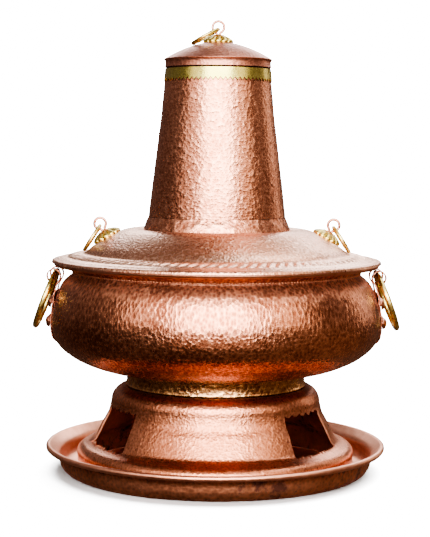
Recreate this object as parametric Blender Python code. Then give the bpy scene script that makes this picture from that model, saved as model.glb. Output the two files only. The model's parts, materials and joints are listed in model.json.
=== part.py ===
"""Charcoal hot pot of hammered copper with brass fittings.

Charcoal burns on a grate at the foot of a fire tube, which runs up through the ring-shaped bowl and
becomes the chimney. The pot's stand is open at three draft windows and stands loose in an ash tray.
A ring lid closes the bowl round the fire tube, and a snuffer cap closes the chimney.

Lengths are in millimetres here and become metres when a mesh is finished. Z is up, the tray's underside
is z = 0, and the ring handles are at -X (left) and +X (right).
"""

import math

import bmesh
import bpy
from mathutils import Matrix, Vector

MM = 0.001

# Sheet, wire and clearances
SHEET = 1.2
THIN_SHEET = 0.6
GAP = 0.3
RIM_WIRE = 1.1
SIDES = 32
SMALL_SIDES = 12

# Ash tray
TRAY_FLOOR_RADIUS = 139.4
TRAY_CORNER = 12.0
TRAY_BEAD = (162.8, 25.0)
TRAY_WIRE = 1.2

# Stand and its draft windows
STAND_FOOT = 134.5
WINDOW_COUNT = 3
WINDOW_TURN = -4.0
WINDOW_HALF_ANGLE = 17.5
WINDOW_BOTTOM = 28.5
WINDOW_TOP = 66.5
WINDOW_TOP_TEETH = 5
WINDOW_BOTTOM_TEETH = 9
TOOTH_TOP = 3.0
TOOTH_BOTTOM = 2.0

# Bowl
BOWL_HOLE = 83.8
BOWL_BEAD = (155.4, 203.0)

# Fire tube, chimney and grate
TUBE_FOOT = 83.4
TUBE_BOTTOM = 85.2
KNEE = (66.7, 247.8)
CHIMNEY_TOP = 397.5
BAND_BOTTOM = 378.8
BAND_TOP = 390.3
GRATE_BARS = 6
GRATE_PITCH = 20.0
GRATE_BAR_WIDTH = 6.0
GRATE_BAR_HEIGHT = 4.0
GRATE_RADIUS = 81.9

# Lid and cap
LID_HOLE = 73.2
LID_RADIUS = 160.0
SKIRT_RADIUS = 136.5
CAP_TOP = 415.8

# Eye, rosette and small ring, as fitted twice on the lid and once on the cap
SHANK = 2.4
SHANK_HOLE = 2.8
ROSETTE_RADIUS = 14.5
ROSETTE_HEIGHT = 7.4
PETALS = 8
WASHER_SLACK = 1.0
EYE_HEIGHT = 14.9
EYE_RADIUS = 5.6
EYE_WIRE = 1.4
HINGE_DROP = 2.0
SMALL_RING_RADIUS = 14.05
SMALL_RING_WIRE = 1.7
LID_SEAT = (106.4, 227.5)
LID_SEAT_TILT = 29.3
LID_RING_DROOP = 57.5
CAP_RING_DROOP = 29.0

# Side handles
KNUCKLE = (157.2, 190.5)
KNUCKLE_OUTER = 7.1
KNUCKLE_INNER_Y = 11.0
KNUCKLE_OUTER_Y = 17.5
PLATE_HALF_WIDTH = 22.5
PLATE_TOP = 182.0
BELLY_RADIUS = 160.0
SIDE_RING_RADIUS = 28.75
SIDE_RING_WIRE = 2.75
SIDE_RING_SAG = 4.06
SIDE_RING_LEAN = 21.0
RIVET_SHANK = 2.3
RIVET_HOLE = 2.6
RIVETS = ((13.0, 159.6, 165.0, 9.0, 5.9), (10.0, 161.8, 146.0, 0.0, 4.7))

COPPER = ((0.62, 0.27, 0.18, 1.0), 0.30, 1.0)
DARK_COPPER = ((0.36, 0.14, 0.09, 1.0), 0.42, 1.0)
BRASS = ((0.72, 0.54, 0.20, 1.0), 0.25, 1.0)
IRON = ((0.05, 0.045, 0.04, 1.0), 0.65, 0.8)

SIDES_OF_POT = (("left", -1), ("right", 1))


# ---------------------------------------------------------------- outlines


def arc(centre, radius, start, end, steps):
    """Points (radius, height) along an arc, with its angles in degrees."""
    angles = [math.radians(start + (end - start) * i / steps) for i in range(steps + 1)]
    return [(centre[0] + radius * math.cos(a), centre[1] + radius * math.sin(a)) for a in angles]


def sheet(skin, thickness):
    """The closed outline of a sheet: its skin, and the same line shifted to the skin's right-hand side."""
    normals = []
    for (r0, z0), (r1, z1) in zip(skin, skin[1:]):
        length = math.hypot(r1 - r0, z1 - z0)
        normals.append(Vector(((z1 - z0) / length, (r0 - r1) / length)))
    shifted = []
    for i, point in enumerate(skin):
        before, after = normals[max(i - 1, 0)], normals[min(i, len(normals) - 1)]
        mitre = (before + after).normalized()
        shifted.append(Vector(point) + mitre * thickness / mitre.dot(after))
    return list(skin) + [tuple(point) for point in reversed(shifted)]


# ---------------------------------------------------------------- meshes


def turned(outline, sides=SIDES):
    """A closed outline of (radius, height) points turned once about Z."""
    bm = bmesh.new()
    verts = [bm.verts.new((r, 0, z)) for r, z in outline]
    edges = [bm.edges.new(pair) for pair in zip(verts, verts[1:] + verts[:1])]
    bmesh.ops.spin(
        bm, geom=verts + edges, axis=(0, 0, 1), cent=(0, 0, 0), angle=math.tau, steps=sides, use_merge=True
    )
    bmesh.ops.remove_doubles(bm, verts=bm.verts, dist=GAP / 100)
    return bm


def hoop(radius, wire, sides, wire_sides, height=0.0):
    """A round wire bent into a circle about Z."""
    return turned(arc((radius, height), wire, 0, 360 - 360 / wire_sides, wire_sides - 1), sides)


def box(bm, size, centre):
    """Add a box to a mesh."""
    move = Matrix.Translation(centre) @ Matrix.Diagonal((*size, 1))
    bmesh.ops.create_cube(bm, size=1, matrix=move)


def rod(bm, radius, start, end):
    """Add a round bar between two points to a mesh."""
    along = Vector(end) - Vector(start)
    place = Matrix.Translation((Vector(start) + Vector(end)) / 2)
    turn = along.to_track_quat("Z", "Y").to_matrix().to_4x4()
    bmesh.ops.create_cone(
        bm, cap_ends=True, segments=SMALL_SIDES, radius1=radius, radius2=radius, depth=along.length,
        matrix=place @ turn,
    )


def moved(bm, matrix):
    bmesh.ops.transform(bm, matrix=matrix, verts=bm.verts)
    return bm


# ---------------------------------------------------------------- objects


def material(name, look):
    made = bpy.data.materials.new(name + "_metal")
    made.use_nodes = True
    surface = made.node_tree.nodes["Principled BSDF"]
    surface.inputs["Base Color"].default_value = look[0]
    surface.inputs["Roughness"].default_value = look[1]
    surface.inputs["Metallic"].default_value = look[2]
    made.diffuse_color = look[0]
    return made


def add(name, bm, look=None, parent=None, origin=(0, 0, 0)):
    """Finish a mesh as an object whose origin is at a given place. Without a look it is a cutter."""
    bmesh.ops.translate(bm, vec=-Vector(origin), verts=bm.verts)
    bmesh.ops.scale(bm, vec=(MM, MM, MM), verts=bm.verts)
    bmesh.ops.recalc_face_normals(bm, faces=bm.faces)
    mesh = bpy.data.meshes.new(name)
    bm.to_mesh(mesh)
    bm.free()
    obj = bpy.data.objects.new(name, mesh)
    bpy.context.scene.collection.objects.link(obj)
    obj.location = Vector(origin) * MM
    if parent:
        obj.parent = parent
        obj.matrix_parent_inverse = Matrix.Translation(-parent.location)
    if look:
        mesh.materials.append(material(name, look))
        mesh.shade_smooth()
        mesh.set_sharp_from_angle(angle=math.radians(35))
    else:
        obj.hide_render = True
        obj.display_type = "WIRE"
    return obj


def group(name, height):
    """An empty on the pot's axis, which carries the sub-parts that lift together."""
    empty = bpy.data.objects.new(name, None)
    empty.location = (0, 0, height * MM)
    bpy.context.scene.collection.objects.link(empty)
    return empty


def combine(obj, other, operation):
    modifier = obj.modifiers.new(operation.lower(), "BOOLEAN")
    modifier.object = other
    modifier.operation = operation
    modifier.solver = "EXACT"


# ---------------------------------------------------------------- ash tray


def make_tray():
    corner = arc((TRAY_FLOOR_RADIUS, SHEET + TRAY_CORNER), TRAY_CORNER, -90, 0, 3)
    bead = arc(TRAY_BEAD, TRAY_WIRE + GAP + SHEET, 145, -125, 5)
    skin = [(0, SHEET)] + corner + [(152.4, 19.0)] + bead
    add("tray", turned(sheet(skin, SHEET)), COPPER)
    add("tray_rim_wire", hoop(TRAY_BEAD[0], TRAY_WIRE, SIDES, 6, TRAY_BEAD[1]), DARK_COPPER)


# ---------------------------------------------------------------- stand


def window_cutter(middle):
    """A wedge through the stand's wall. Its top and bottom edges are saw-toothed."""
    edge = [(-WINDOW_HALF_ANGLE, WINDOW_TOP), (-WINDOW_HALF_ANGLE, WINDOW_BOTTOM)]
    for i in range(WINDOW_BOTTOM_TEETH):
        angle = WINDOW_HALF_ANGLE * (2 * (i + 0.5) / WINDOW_BOTTOM_TEETH - 1)
        edge += [(angle, WINDOW_BOTTOM + TOOTH_BOTTOM)]
        edge += [(angle + WINDOW_HALF_ANGLE / WINDOW_BOTTOM_TEETH, WINDOW_BOTTOM)]
    edge += [(WINDOW_HALF_ANGLE, WINDOW_TOP)]
    for i in reversed(range(1, WINDOW_TOP_TEETH)):
        angle = WINDOW_HALF_ANGLE * (2 * i / WINDOW_TOP_TEETH - 1)
        edge += [(angle + WINDOW_HALF_ANGLE / WINDOW_TOP_TEETH, WINDOW_TOP - TOOTH_TOP)]
        edge += [(angle, WINDOW_TOP)]
    edge += [(-WINDOW_HALF_ANGLE * (1 - 1 / WINDOW_TOP_TEETH), WINDOW_TOP - TOOTH_TOP)]
    bm = bmesh.new()
    rings = []
    for radius in (STAND_FOOT / 2, STAND_FOOT):
        angles = [math.radians(middle + angle) for angle, _ in edge]
        heights = [height for _, height in edge]
        rings.append([
            bm.verts.new((radius * math.cos(a), radius * math.sin(a), z)) for a, z in zip(angles, heights)
        ])
    for i in range(len(edge)):
        j = (i + 1) % len(edge)
        bm.faces.new((rings[0][i], rings[0][j], rings[1][j], rings[1][i]))
    bmesh.ops.triangulate(bm, faces=[bm.faces.new(ring) for ring in rings])
    return bm


def make_stand(pot):
    skin = [(85.2, 96.0), (85.2, 84.4), (91.0, 83.6), (99.6, 77.0), (102.2, 68.0), (104.4, 58.0)]
    skin += [(111.6, 45.0), (118.5, 31.0), (130.0, 26.6), (135.3, 20.0), (STAND_FOOT, SHEET + GAP)]
    stand = add("stand", turned(sheet(skin, SHEET)), COPPER, pot)
    for i in range(WINDOW_COUNT):
        middle = 90 + WINDOW_TURN + i * 360 / WINDOW_COUNT
        combine(stand, add("window_cutter_%d" % (i + 1), window_cutter(middle)), "DIFFERENCE")
    collar = [(87.7, 98.4), (87.0, 91.6), (87.7, 84.9)]
    add("neck_band", turned(sheet(collar, SHEET)), COPPER, pot)


# ---------------------------------------------------------------- bowl and its side handles


def rivet_places(side):
    """Yields each rivet's number, its seat on the bracket, its outward direction and its grip."""
    number = 0
    for offset, reach, height, tilt, grip in RIVETS:
        for toward in (-1, 1):
            number += 1
            turn = math.asin(offset / reach)
            out = Vector((side * math.cos(turn), toward * math.sin(turn), math.tan(math.radians(tilt))))
            seat = Vector((side * reach * math.cos(turn), toward * offset, height))
            yield number, seat, out.normalized(), grip


def make_bowl(pot):
    skin = [(BOWL_HOLE, 98.7), (100.7, 99.4), (119.0, 102.8), (138.7, 111.6), (151.8, 121.8)]
    skin += [(158.4, 132.5), (BELLY_RADIUS, 144.0), (158.7, 159.5), (154.4, 174.5), (148.9, 185.0)]
    skin += [(140.2, 192.2), (140.6, 197.0), (147.0, 200.6)]
    skin += arc(BOWL_BEAD, RIM_WIRE + GAP, 110, -130, 4)
    bowl = add("bowl", turned(sheet(skin, -SHEET)), COPPER, pot)
    add("bowl_rim_wire", hoop(BOWL_BEAD[0], RIM_WIRE, SIDES, 6, BOWL_BEAD[1]), DARK_COPPER, pot)
    holes = bmesh.new()
    for _, side in SIDES_OF_POT:
        for _, seat, out, grip in rivet_places(side):
            rod(holes, RIVET_HOLE, seat + out * grip, seat - out * 2 * grip)
    cutter = add("rivet_hole_cutter", holes)
    combine(bowl, cutter, "DIFFERENCE")
    return cutter


def bracket_mesh(side):
    """A copper plate that follows the belly, with its top rolled outward into two knuckles.

    The strip is a row of cells along its profile, in bands along Y. Above the plate only the knuckles'
    bands are filled, and a face is drawn wherever a filled cell has no filled neighbour.
    """
    plate = [(155.8, 127.0), (159.0, 132.5), (160.5, 143.8), (160.1, 153.0), (157.3, 170.6)]
    plate += [(153.8, PLATE_TOP)]
    outline = sheet(plate + arc(KNUCKLE, KNUCKLE_OUTER, 210, -78, 8), SHEET)
    count = len(outline) // 2
    edges = (PLATE_HALF_WIDTH, KNUCKLE_OUTER_Y, KNUCKLE_INNER_Y)
    levels = [-y for y in edges] + [y for y in reversed(edges)]
    bm = bmesh.new()
    grid = []
    for y in levels:
        row = []
        for x, z in outline:
            share = min(max((PLATE_TOP - z) / (PLATE_TOP - 165.0), 0), 1)
            bent = x - share * y**2 / (2 * BELLY_RADIUS)
            row.append(bm.verts.new((side * bent, y, z)))
        grid.append(row)

    def filled(band, cell):
        in_strip = 0 <= band < len(levels) - 1 and 0 <= cell < count - 1
        return in_strip and (cell < len(plate) - 1 or band in (1, 3))

    for band in range(len(levels) - 1):
        for cell in range(count - 1):
            if not filled(band, cell):
                continue
            near, far = grid[band], grid[band + 1]
            back, back_next = 2 * count - 1 - cell, 2 * count - 2 - cell
            bm.faces.new((near[cell], near[cell + 1], far[cell + 1], far[cell]))
            bm.faces.new((near[back], near[back_next], far[back_next], far[back]))
            for row, beside in ((near, band - 1), (far, band + 1)):
                if not filled(beside, cell):
                    bm.faces.new((row[cell], row[cell + 1], row[back_next], row[back]))
            for one, two, beside in ((cell, back, cell - 1), (cell + 1, back_next, cell + 1)):
                if not filled(band, beside):
                    bm.faces.new((near[one], near[two], far[two], far[one]))
    bmesh.ops.delete(bm, geom=[v for v in bm.verts if not v.link_faces], context="VERTS")
    return bm


def rivet_mesh(seat, out, grip):
    """A domed rivet whose shank passes through bracket and bowl and is peened over inside."""
    foot = -grip
    outline = [(0, 4.3), (3.9, 3.4), (6.0, GAP), (RIVET_SHANK, GAP), (RIVET_SHANK, foot)]
    outline += [(4.2, foot), (3.0, foot - 1.4), (0, foot - 1.8)]
    turn = out.to_track_quat("Z", "Y").to_matrix().to_4x4()
    return moved(turned(outline, 8), Matrix.Translation(seat) @ turn)


def make_side_handle(name, side, pot, rivet_holes):
    bracket = add("side_bracket_" + name, bracket_mesh(side), COPPER, pot)
    combine(bracket, rivet_holes, "DIFFERENCE")
    for number, seat, out, grip in rivet_places(side):
        add("bracket_rivet_%s_%d" % (name, number), rivet_mesh(seat, out, grip), COPPER, pot)
    ring = hoop(SIDE_RING_RADIUS, SIDE_RING_WIRE, 28, 7)
    hang = SIDE_RING_RADIUS - SIDE_RING_SAG
    lean = math.radians(90 - SIDE_RING_LEAN)
    hinge = Vector((side * KNUCKLE[0], 0, KNUCKLE[1]))
    middle = hinge + hang * Vector((side * math.cos(lean), 0, -math.sin(lean)))
    moved(ring, Matrix.Translation(middle) @ Matrix.Rotation(side * lean, 4, "Y"))
    add("side_ring_" + name, ring, BRASS, origin=hinge)


# ---------------------------------------------------------------- fire tube, grate and chimney


def make_fire_tube(pot):
    skin = [(GRATE_RADIUS - 4, TUBE_BOTTOM), (TUBE_FOOT, TUBE_BOTTOM), (TUBE_FOOT, 100.0)]
    skin += [(72.0, 233.0), KNEE]
    add("fire_tube", turned(sheet(skin, -SHEET)), COPPER, pot)
    low = TUBE_BOTTOM + SHEET + GAP
    ring = [(GRATE_RADIUS, low + 3), (GRATE_RADIUS, low)]
    ring += [(GRATE_RADIUS - 6, low), (GRATE_RADIUS - 6, low + 3)]
    add("grate_ring", turned(ring), IRON, pot)
    middle = low + 3 + GAP + GRATE_BAR_HEIGHT / 2
    for i in range(GRATE_BARS):
        y = GRATE_PITCH * (i - (GRATE_BARS - 1) / 2)
        reach = math.sqrt((GRATE_RADIUS - 0.5) ** 2 - (abs(y) + GRATE_BAR_WIDTH / 2) ** 2)
        bm = bmesh.new()
        box(bm, (2 * reach, GRATE_BAR_WIDTH, GRATE_BAR_HEIGHT), (0, y, middle))
        add("grate_bar_%d" % (i + 1), bm, IRON, pot)


def make_chimney(pot):
    neck = 48.4
    skin = [(neck, CHIMNEY_TOP), (neck, 391.2), (50.2, 390.7), (53.2, 362.0), (64.7, 264.0)]
    skin += [(KNEE[0] - GAP, KNEE[1] + GAP)]
    add("chimney", turned(sheet(skin, SHEET)), COPPER, pot)
    band = [(51.2, BAND_TOP), (52.4, BAND_BOTTOM)]
    add("chimney_band", turned(sheet(band, THIN_SHEET)), BRASS, pot)


# ---------------------------------------------------------------- eyes, rosettes and small rings


def rosette_mesh():
    """A brass petal washer about Z with its seat at z = 0."""
    outline = [(ROSETTE_RADIUS, GAP), (ROSETTE_RADIUS, 1.6), (11.0, 4.4), (5.6, 7.0)]
    outline += [(SHANK_HOLE, ROSETTE_HEIGHT), (SHANK_HOLE, GAP)]
    bm = turned(outline, 3 * PETALS)
    for vert in bm.verts:
        radius, angle = math.hypot(vert.co.x, vert.co.y), math.atan2(vert.co.y, vert.co.x)
        dent = 0.06 * (math.cos(PETALS * angle) - 1) / 2 * max(radius - SHANK_HOLE, 0) / ROSETTE_RADIUS
        vert.co.x *= 1 + dent
        vert.co.y *= 1 + dent
    return bm


def fit_eye(name, ending, place, tilt, parent):
    """Put a rosette, an eye and a washer on a seat. The eye's loop lies in the XZ plane."""
    put = place @ Matrix.Rotation(math.radians(tilt), 4, "Y")
    add(name + "_rosette" + ending, moved(rosette_mesh(), put), BRASS, parent)
    loop = moved(hoop(EYE_RADIUS, EYE_WIRE, 16, 6), Matrix.Rotation(math.pi / 2, 4, "X"))
    loop = moved(loop, put @ Matrix.Translation((0, 0, EYE_HEIGHT)))
    eye = add(name + "_eye" + ending, loop, COPPER, parent)
    washer_top = -SHEET - WASHER_SLACK
    head_top = washer_top - 1 - GAP
    outline = [(0, EYE_HEIGHT - EYE_RADIUS), (SHANK, EYE_HEIGHT - EYE_RADIUS), (SHANK, head_top)]
    outline += [(4.2, head_top), (4.2, head_top - 1), (2.6, head_top - 1.6), (0, head_top - 1.7)]
    shank = add(name + "_shank" + ending, moved(turned(outline, SMALL_SIDES), put))
    combine(eye, shank, "UNION")
    ring = [(6.5, washer_top), (6.5, washer_top - 1), (SHANK_HOLE, washer_top - 1), (SHANK_HOLE, washer_top)]
    add(name + "_washer" + ending, moved(turned(ring, SMALL_SIDES), put), BRASS, parent)
    return put @ Vector((0, 0, EYE_HEIGHT))


def hang_small_ring(name, eye_middle, side, droop):
    """Hang a brass ring in an eye, leaning outward and down by its droop."""
    hinge = eye_middle - Vector((0, 0, HINGE_DROP))
    angle = math.radians(droop)
    middle = hinge + SMALL_RING_RADIUS * Vector((side * math.cos(angle), 0, -math.sin(angle)))
    ring = hoop(SMALL_RING_RADIUS, SMALL_RING_WIRE, 20, 6)
    moved(ring, Matrix.Translation(middle) @ Matrix.Rotation(side * angle, 4, "Y"))
    add(name, ring, BRASS, origin=hinge)


# ---------------------------------------------------------------- lid and cap


def make_lid():
    body = group("lid_group", 205.0)
    skin = [(LID_HOLE, 231.6), (75.2, 235.2), (82.4, 236.3), (92.9, 234.4), (106.4, 227.5)]
    skin += [(120.4, 219.0), (128.0, 212.2), (154.0, 207.4), (158.8, 207.0), (LID_RADIUS, 204.2)]
    lid = add("lid", turned(sheet(skin, SHEET)), COPPER, body)
    skirt = [(SKIRT_RADIUS, 208.6), (SKIRT_RADIUS, 196.0)]
    add("lid_skirt", turned(sheet(skirt, 1.0)), COPPER, body)
    holes = bmesh.new()
    for name, side in SIDES_OF_POT:
        place = Matrix.Translation((side * LID_SEAT[0], 0, LID_SEAT[1]))
        tilt = side * LID_SEAT_TILT
        out = (place @ Matrix.Rotation(math.radians(tilt), 4, "Y")).to_3x3() @ Vector((0, 0, 1))
        rod(holes, SHANK_HOLE, place.translation - 6 * out, place.translation + 6 * out)
        eye_middle = fit_eye("lid", "_" + name, place, tilt, body)
        hang_small_ring("lid_ring_" + name, eye_middle, side, LID_RING_DROOP)
    combine(lid, add("lid_hole_cutter", holes), "DIFFERENCE")


def make_cap():
    body = group("cap_group", 391.0)
    skin = [(SHANK_HOLE, CAP_TOP), (14.5, CAP_TOP - 0.3), (30.0, 410.8), (42.0, 405.7), (52.5, 399.4)]
    skin += [(51.4, 398.0), (50.6, 391.9)]
    add("cap", turned(sheet(skin, SHEET)), COPPER, body)
    eye_middle = fit_eye("cap", "", Matrix.Translation((0, 0, CAP_TOP)), 0, body)
    hang_small_ring("cap_ring", eye_middle, -1, CAP_RING_DROOP)


for old in list(bpy.data.objects):
    bpy.data.objects.remove(old, do_unlink=True)

make_tray()
pot_group = group("pot_group", SHEET)
make_stand(pot_group)
rivet_hole_cutter = make_bowl(pot_group)
for side_name, side_sign in SIDES_OF_POT:
    make_side_handle(side_name, side_sign, pot_group, rivet_hole_cutter)
make_fire_tube(pot_group)
make_chimney(pot_group)
make_lid()
make_cap()
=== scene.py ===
import json
import math

import bmesh
import bpy
import numpy as np
from mathutils import Matrix, Vector


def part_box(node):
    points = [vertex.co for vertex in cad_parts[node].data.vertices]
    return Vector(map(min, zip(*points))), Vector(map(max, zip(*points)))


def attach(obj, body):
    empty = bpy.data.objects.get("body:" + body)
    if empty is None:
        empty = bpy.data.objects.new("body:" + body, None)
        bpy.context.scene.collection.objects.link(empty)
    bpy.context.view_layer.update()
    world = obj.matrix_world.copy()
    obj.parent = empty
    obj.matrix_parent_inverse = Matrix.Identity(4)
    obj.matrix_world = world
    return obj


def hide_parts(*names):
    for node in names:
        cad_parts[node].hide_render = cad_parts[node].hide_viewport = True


# The look of a charcoal hot pot of hammered copper with brass fittings. Every piece here rides on a body of
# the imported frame, and all but the beading under the bowl's rim stand for a node of it. Lengths are in
# millimetres and become metres when a mesh is made. Z is up, the ring handles are at -X (left) and +X
# (right), and the front is -Y.

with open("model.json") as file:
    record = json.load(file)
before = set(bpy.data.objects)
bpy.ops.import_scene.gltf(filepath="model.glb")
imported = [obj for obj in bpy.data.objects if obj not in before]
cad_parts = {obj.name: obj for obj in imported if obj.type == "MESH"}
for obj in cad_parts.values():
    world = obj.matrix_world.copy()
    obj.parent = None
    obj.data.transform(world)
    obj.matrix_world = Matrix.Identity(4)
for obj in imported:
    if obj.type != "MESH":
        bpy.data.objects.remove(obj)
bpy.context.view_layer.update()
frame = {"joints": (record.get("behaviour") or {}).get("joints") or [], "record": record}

MM = 0.001
SIDES_OF_POT = (("left", -1), ("right", 1))

# The thickness of the copper sheet, and the play between a fastener's head and what it holds.
SHEET = 1.2
GAP = 0.3

# A smooth curve has a point at about every DENSE. From one facet of a bend in an outline to the next, the
# direction turns by about MOST_TURN, in radians. Edges sharper than SHARP_ANGLE, in degrees, look sharp.
DENSE = 0.25
MOST_TURN = 0.30
SHARP_ANGLE = 38.0


# ---------------- outlines


def arc(centre, radius, start, end, steps):
    """Points (radius, height) along an arc, with its angles in degrees."""
    angles = np.radians(np.linspace(start, end, steps + 1))
    return [(centre[0] + radius * math.cos(a), centre[1] + radius * math.sin(a)) for a in angles]


def between(t, t0, t1, first, second):
    """The place at t on the line that is at the first point at t0 and at the second at t1."""
    return (t1 - t) / (t1 - t0) * first + (t - t0) / (t1 - t0) * second


def smooth(points):
    """A dense centripetal Catmull-Rom curve through the given points."""
    given = np.array(points, float)
    ends = np.vstack([2 * given[0] - given[1], given, 2 * given[-1] - given[-2]])
    made = []
    for p0, p1, p2, p3 in zip(ends, ends[1:], ends[2:], ends[3:]):
        gaps = [math.sqrt(np.linalg.norm(b - a)) for a, b in ((p0, p1), (p1, p2), (p2, p3))]
        k0, k1, k2, k3 = np.cumsum([0, *gaps])
        count = max(int(np.linalg.norm(p2 - p1) / DENSE), 3)
        for t in np.linspace(k1, k2, count, endpoint=False):
            a1 = between(t, k0, k1, p0, p1)
            a2 = between(t, k1, k2, p1, p2)
            a3 = between(t, k2, k3, p2, p3)
            b1 = between(t, k0, k2, a1, a2)
            b2 = between(t, k1, k3, a2, a3)
            made.append(between(t, k1, k2, b1, b2))
    return np.array(made + [given[-1]])


def lengths(line):
    """Distance along a line to each of its points."""
    return np.concatenate([[0], np.cumsum(np.linalg.norm(np.diff(line, axis=0), axis=1))])


def right_hand(line):
    """Unit normals on the right-hand side of travel, or zero where several points lie together."""
    along = np.gradient(line, axis=0)
    size = np.linalg.norm(along, axis=1)[:, None]
    along = np.divide(along, size, out=np.zeros_like(along), where=size > 0)
    return np.column_stack([along[:, 1], -along[:, 0]])


def spaced(line, step):
    """The line with points at most a step apart, and closer where it bends."""
    travel = lengths(line)
    normal = right_hand(line)
    turn = np.arccos(np.clip((normal[1:] * normal[:-1]).sum(axis=1), -1, 1))
    cost = np.concatenate([[0], np.cumsum(np.maximum(np.diff(travel) / step, turn / MOST_TURN))])
    wanted = np.linspace(0, cost[-1], max(int(math.ceil(cost[-1])), 1) + 1)
    return np.column_stack([np.interp(wanted, cost, line[:, k]) for k in (0, 1)])


# ---------------- hammer marks


def blows(theta, travel, radius, pitch, hammer, tilt, seed, stretch=1.0):
    """Heights of a surface covered with overlapping hammer blows.

    Each blow is a shallow cup of the hammer's own radius, with a small tilt, and the lowest cup wins, so
    that ridges are left between them. Rows of blows go round the pot, and each row holds a whole number.
    Stretched blows are longer along the travel than round it.
    """
    random = np.random.default_rng(seed)
    radius = np.maximum(radius, 0.5)
    travel = travel / stretch
    rows = int(travel[-1] / pitch) + 4
    row_travel = (np.arange(rows) - 1) * pitch
    row_count = np.maximum(np.round(math.tau * np.interp(row_travel, travel, radius) / pitch), 3).astype(int)
    shape = (rows, row_count.max())
    off_round = random.uniform(-0.36, 0.36, shape)
    off_along = random.uniform(-0.36, 0.36, shape) * pitch
    lean_round = random.normal(0, tilt, shape)
    lean_along = random.normal(0, tilt, shape)
    sink = random.uniform(0, 0.22, shape) * pitch**2 / (8 * hammer)
    lowest = np.full((len(travel), len(theta)), np.inf)
    nearest = np.floor(travel / pitch).astype(int) + 1
    for row_step in (-1, 0, 1):
        row = np.clip(nearest + row_step, 0, rows - 1)[:, None]
        count = row_count[row]
        cell = np.floor(theta[None, :] / math.tau * count).astype(int)
        for cell_step in (-1, 0, 1):
            place = cell + cell_step
            which = place % count
            middle = (place + 0.5 + 0.5 * (row % 2) + off_round[row, which]) * math.tau / count
            across = radius[:, None] * (theta[None, :] - middle)
            along = travel[:, None] - row_travel[row] - off_along[row, which]
            height = (across**2 + along**2) / (2 * hammer) - sink[row, which]
            height += lean_round[row, which] * across + lean_along[row, which] * along
            lowest = np.minimum(lowest, height)
    return lowest


def waviness(theta, travel, size, seed):
    """A slow unevenness of hand-raised sheet, from a few waves round and along it."""
    random = np.random.default_rng(seed)
    made = np.zeros((len(travel), len(theta)))
    for round_waves in (2, 3, 5, 9, 14):
        for long_waves in (0.4, 1.1, 2.3):
            phase, shift = random.uniform(0, math.tau, 2)
            wave = np.cos(round_waves * theta[None, :] + phase)
            made += wave * np.cos(math.tau * long_waves * travel[:, None] / travel[-1] + shift) / round_waves
    return size * made / 3


def bump_at(travel, place, width):
    """A rounded ridge of height 1 across the direction of travel."""
    return np.exp(-(((travel - place) / width) ** 2))


# ---------------- meshes


def make_mesh(name, points, faces, finishes, polish):
    """A mesh from arrays of points in millimetres and four-sided faces, with a material number per face."""
    mesh = bpy.data.meshes.new(name)
    mesh.vertices.add(len(points))
    mesh.vertices.foreach_set("co", (points * MM).astype(np.float32).ravel())
    mesh.loops.add(faces.size)
    mesh.loops.foreach_set("vertex_index", faces.astype(np.int32).ravel())
    mesh.polygons.add(len(faces))
    mesh.polygons.foreach_set("loop_start", np.arange(0, faces.size, 4, dtype=np.int32))
    mesh.polygons.foreach_set("material_index", finishes.astype(np.int32))
    mesh.update(calc_edges=True)
    attribute = mesh.attributes.new("polish", "FLOAT", "POINT")
    attribute.data.foreach_set("value", polish.astype(np.float32))
    return mesh


def turned(name, rows, normals, columns, relief, finishes, closed=True):
    """A surface of revolution through rows of (radius, height), with a relief along its normals."""
    theta = np.arange(columns) * math.tau / columns
    reach = rows[:, 0:1] + normals[:, 0:1] * relief
    level = rows[:, 1:2] + normals[:, 1:2] * relief
    points = np.stack([reach * np.cos(theta), reach * np.sin(theta), level], axis=-1).reshape(-1, 3)
    count = len(rows)
    first = np.arange(count if closed else count - 1)
    near = first[:, None] * columns
    far = ((first + 1) % count)[:, None] * columns
    here = np.arange(columns)[None, :]
    beside = (np.arange(columns) + 1)[None, :] % columns
    faces = np.stack([near + here, near + beside, far + beside, far + here], axis=-1).reshape(-1, 4)
    following = np.roll(rows, -1, axis=0)
    area = (rows[:, 0] * following[:, 1] - following[:, 0] * rows[:, 1]).sum()
    if area < 0:
        faces = faces[:, ::-1]
    return make_mesh(name, points, faces, np.repeat(finishes[first], columns), relief.ravel())


def plain(name, rows, columns):
    """A turned ring without relief, from a closed outline of (radius, height) with its corners as given."""
    flat = np.zeros((len(rows), columns))
    return turned(name, np.array(rows), np.zeros((len(rows), 2)), columns, flat, np.zeros(len(rows), int))


def relief_on(rows, columns, pattern, travel=None):
    """How far each point of a turned surface stands out: by the pattern, or not at all without one."""
    if not pattern:
        return np.zeros((len(rows), columns))
    if travel is None:
        travel = lengths(rows)
    return pattern(np.arange(columns) * math.tau / columns, travel, rows[:, 0], rows[:, 1])


def sheet(
    name, outline, thickness, columns, step, back_step, relief=None, finishes=(0, 0), back_relief=None
):
    """A closed turned sheet. The outline is its front, and its back lies to the right of travel."""
    line = smooth(outline)
    behind = line + right_hand(line) * thickness
    front = spaced(line, step)
    back = spaced(behind, back_step)[::-1]
    side = -1 if thickness > 0 else 1
    rows = np.vstack([front, back])
    normals = np.vstack([right_hand(front), right_hand(back)]) * side
    heights = np.vstack([relief_on(front, columns, relief), relief_on(back, columns, back_relief)])
    finish = np.repeat(finishes, (len(front), len(back)))
    return turned(name, rows, normals, columns, heights, finish)


def solid(name, runs, columns, step, relief=None):
    """A turned solid. Its smooth runs, with corners between them, go from the axis back to the axis."""
    rows = spaced(np.vstack([smooth(run) for run in runs]), step)
    heights = relief_on(rows, columns, relief)
    heights[rows[:, 0] < 0.01] = 0
    finish = np.zeros(len(rows), int)
    return joined(turned(name, rows, -right_hand(rows), columns, heights, finish, closed=False), [])


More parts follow.
